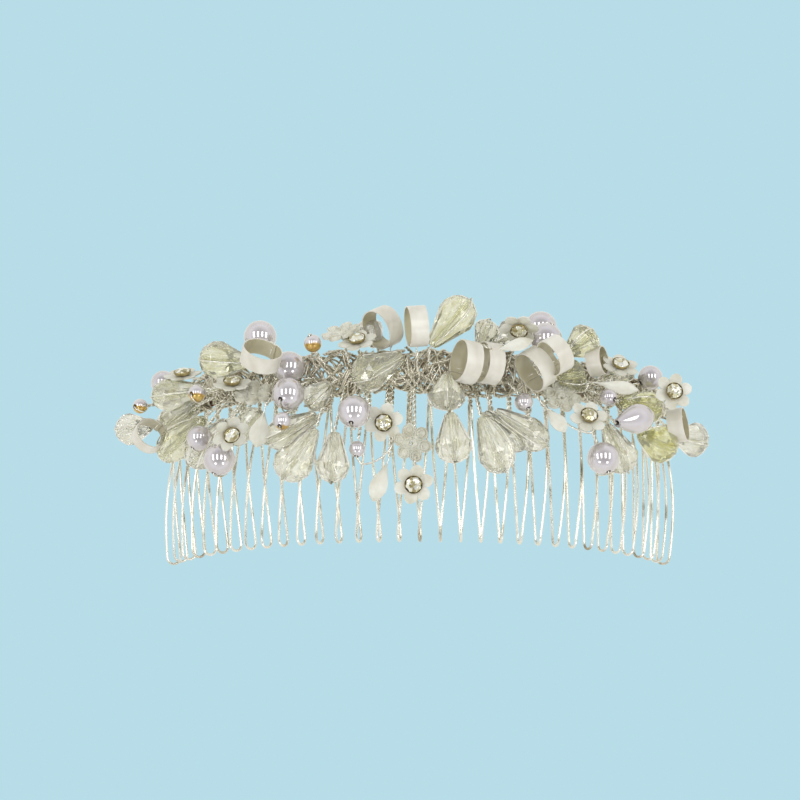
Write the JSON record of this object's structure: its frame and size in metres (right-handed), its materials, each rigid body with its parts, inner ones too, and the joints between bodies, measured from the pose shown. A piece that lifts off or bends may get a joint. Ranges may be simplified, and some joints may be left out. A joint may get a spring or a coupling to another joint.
{
  "type": "decorative hair comb",
  "caption": "Curved wire hair comb with a spray of faceted teardrop beads, turning pearls, enamel flowers, leaves and strip loops along its bar.",
  "frame": {"origin": "centre of the bounding box's bottom, on the table that the comb lies on", "axes": "+X along the comb, -Y along the teeth towards their tips, +Z away from the head, out of the curve"},
  "size_m": [0.1554, 0.06, 0.062],
  "materials": {
    "comb_wire": "bright silver-coloured wire with warm grey tarnish",
    "spray_wire": "fine bright silver-coloured wire",
    "pearl": "lavender-white pearl coating, high gloss, worn to amber on some small pearls",
    "lucite": "clear faceted acrylic, cream to yellow-green",
    "enamel": "ivory enamel on thin metal",
    "rhinestone": "cut clear stone in a brass-coloured rimmed cup",
    "strip": "satin pearlised ivory strip"
  },
  "bodies": {
    "comb": {"top_bar": "comb_wire", "comb_wire_left": "comb_wire", "comb_wire_centre": "comb_wire", "comb_wire_right": "comb_wire", "teardrop_top": "lucite", "teardrop_back_left": "lucite", "teardrop_mid_left": "lucite", "teardrop_centre": "lucite", "teardrop_right_a": "lucite", "teardrop_right_b": "lucite", "teardrop_left_a": "lucite", "teardrop_left_b": "lucite", "teardrop_left_c": "lucite", "teardrop_left_end": "lucite", "teardrop_left_tip": "lucite", "teardrop_right_yellow": "lucite", "teardrop_right_low": "lucite", "teardrop_right_end": "lucite", "flower_centre": "enamel", "rhinestone_centre": "rhinestone", "flower_low": "enamel", "rhinestone_low": "rhinestone", "flower_left": "enamel", "rhinestone_left": "rhinestone", "flower_back_right": "enamel", "rhinestone_back_right": "rhinestone", "flower_right": "enamel", "rhinestone_right": "rhinestone", "flower_right_lower": "enamel", "rhinestone_right_lower": "rhinestone", "leaf_centre": "enamel", "leaf_right": "enamel", "loop_back": "strip", "loop_back_centre": "strip", "loop_centre": "strip", "loop_right": "strip", "loop_left": "strip", "loop_right_end": "strip", "spray_wire_left": "spray_wire", "spray_wire_centre": "spray_wire", "spray_wire_right": "spray_wire"},
    "pearl_left_upper": {"pearl_left_upper": "pearl"},
    "pearl_left_lower": {"pearl_left_lower": "pearl"},
    "pearl_centre_left": {"pearl_centre_left": "pearl"},
    "pearl_left_side": {"pearl_left_side": "pearl"},
    "pearl_left_hanging": {"pearl_left_hanging": "pearl"},
    "pearl_left_tip": {"pearl_left_tip": "pearl"},
    "pearl_back_left": {"pearl_back_left": "pearl"},
    "pearl_back_right": {"pearl_back_right": "pearl"},
    "pearl_back_right_upper": {"pearl_back_right_upper": "pearl"},
    "pearl_right_tip": {"pearl_right_tip": "pearl"},
    "pearl_right_hanging": {"pearl_right_hanging": "pearl"},
    "small_pearl_left": {"small_pearl_left": "pearl"},
    "small_pearl_left_tip": {"small_pearl_left_tip": "pearl"},
    "small_pearl_back_left": {"small_pearl_back_left": "pearl"},
    "small_pearl_mid_left": {"small_pearl_mid_left": "pearl"},
    "small_pearl_centre": {"small_pearl_centre": "pearl"},
    "small_pearl_right": {"small_pearl_right": "pearl"},
    "small_pearl_right_end": {"small_pearl_right_end": "pearl"},
    "drop_pearl": {"drop_pearl": "pearl"}
  },
  "joints": [
    {"name": "pearl_left_upper_spin", "type": "hinge", "parent": "comb", "child": "pearl_left_upper", "pos_m": [-0.03064, 0.01369, 0.04499], "axis": [-0.7761, 0.4795, 0.4096], "continuous": true},
    {"name": "pearl_left_lower_spin", "type": "hinge", "parent": "comb", "child": "pearl_left_lower", "pos_m": [-0.03054, 0.00557, 0.05017], "axis": [-0.4401, -0.5177, 0.7337], "continuous": true},
    {"name": "pearl_centre_left_spin", "type": "hinge", "parent": "comb", "child": "pearl_centre_left", "pos_m": [-0.01425, 0.00021, 0.05377], "axis": [-0.175, -0.8202, 0.5447], "continuous": true},
    {"name": "pearl_left_side_spin", "type": "hinge", "parent": "comb", "child": "pearl_left_side", "pos_m": [-0.05355, -0.00164, 0.03345], "axis": [-0.5019, -0.8448, 0.1857], "continuous": true},
    {"name": "pearl_left_hanging_spin", "type": "hinge", "parent": "comb", "child": "pearl_left_hanging", "pos_m": [-0.04804, -0.00813, 0.03788], "axis": [-0.3337, -0.9269, 0.1717], "continuous": true},
    {"name": "pearl_left_tip_spin", "type": "hinge", "parent": "comb", "child": "pearl_left_tip", "pos_m": [-0.06464, 0.01721, 0.01597], "axis": [-0.7892, 0.4589, -0.4081], "continuous": true},
    {"name": "pearl_back_left_spin", "type": "hinge", "parent": "comb", "child": "pearl_back_left", "pos_m": [-0.03825, 0.02313, 0.03934], "axis": [-0.4194, 0.9077, -0.0139], "continuous": true},
    {"name": "pearl_back_right_spin", "type": "hinge", "parent": "comb", "child": "pearl_back_right", "pos_m": [0.03225, 0.0254, 0.04018], "axis": [0.2762, 0.9405, -0.198], "continuous": true},
    {"name": "pearl_back_right_upper_spin", "type": "hinge", "parent": "comb", "child": "pearl_back_right_upper", "pos_m": [0.03306, 0.02028, 0.04773], "axis": [0.3838, 0.8242, 0.4165], "continuous": true},
    {"name": "pearl_right_tip_spin", "type": "hinge", "parent": "comb", "child": "pearl_right_tip", "pos_m": [0.06105, 0.01623, 0.0249], "axis": [0.8401, 0.4767, -0.2589], "continuous": true},
    {"name": "pearl_right_hanging_spin", "type": "hinge", "parent": "comb", "child": "pearl_right_hanging", "pos_m": [0.04705, -0.00894, 0.04292], "axis": [0.2897, -0.9167, 0.2752], "continuous": true},
    {"name": "small_pearl_left_spin", "type": "hinge", "parent": "comb", "child": "small_pearl_left", "pos_m": [-0.05375, 0.00818, 0.04038], "axis": [-0.5968, -0.2473, 0.7633], "continuous": true},
    {"name": "small_pearl_left_tip_spin", "type": "hinge", "parent": "comb", "child": "small_pearl_left_tip", "pos_m": [-0.06945, 0.0086, 0.02555], "axis": [-0.672, -0.2319, 0.7033], "continuous": true},
    {"name": "small_pearl_back_left_spin", "type": "hinge", "parent": "comb", "child": "small_pearl_back_left", "pos_m": [-0.02465, 0.01872, 0.04906], "axis": [-0.3749, 0.803, 0.4634], "continuous": true},
    {"name": "small_pearl_mid_left_spin", "type": "hinge", "parent": "comb", "child": "small_pearl_mid_left", "pos_m": [-0.03175, -0.00196, 0.05293], "axis": [-0.2696, -0.7393, 0.617], "continuous": true},
    {"name": "small_pearl_centre_spin", "type": "hinge", "parent": "comb", "child": "small_pearl_centre", "pos_m": [-0.01354, -0.00824, 0.04998], "axis": [-0.1109, -0.981, 0.1592], "continuous": true},
    {"name": "small_pearl_right_spin", "type": "hinge", "parent": "comb", "child": "small_pearl_right", "pos_m": [0.02736, 0.00406, 0.04798], "axis": [0.4314, -0.8116, 0.3939], "continuous": true},
    {"name": "small_pearl_right_end_spin", "type": "hinge", "parent": "comb", "child": "small_pearl_right_end", "pos_m": [0.04875, 0.00692, 0.04183], "axis": [0.6721, -0.4341, 0.5999], "continuous": true},
    {"name": "drop_pearl_spin", "type": "hinge", "parent": "comb", "child": "drop_pearl", "pos_m": [0.05516, 0.00158, 0.04023], "axis": [0.697, 0.3003, -0.6512], "continuous": true}
  ]
}
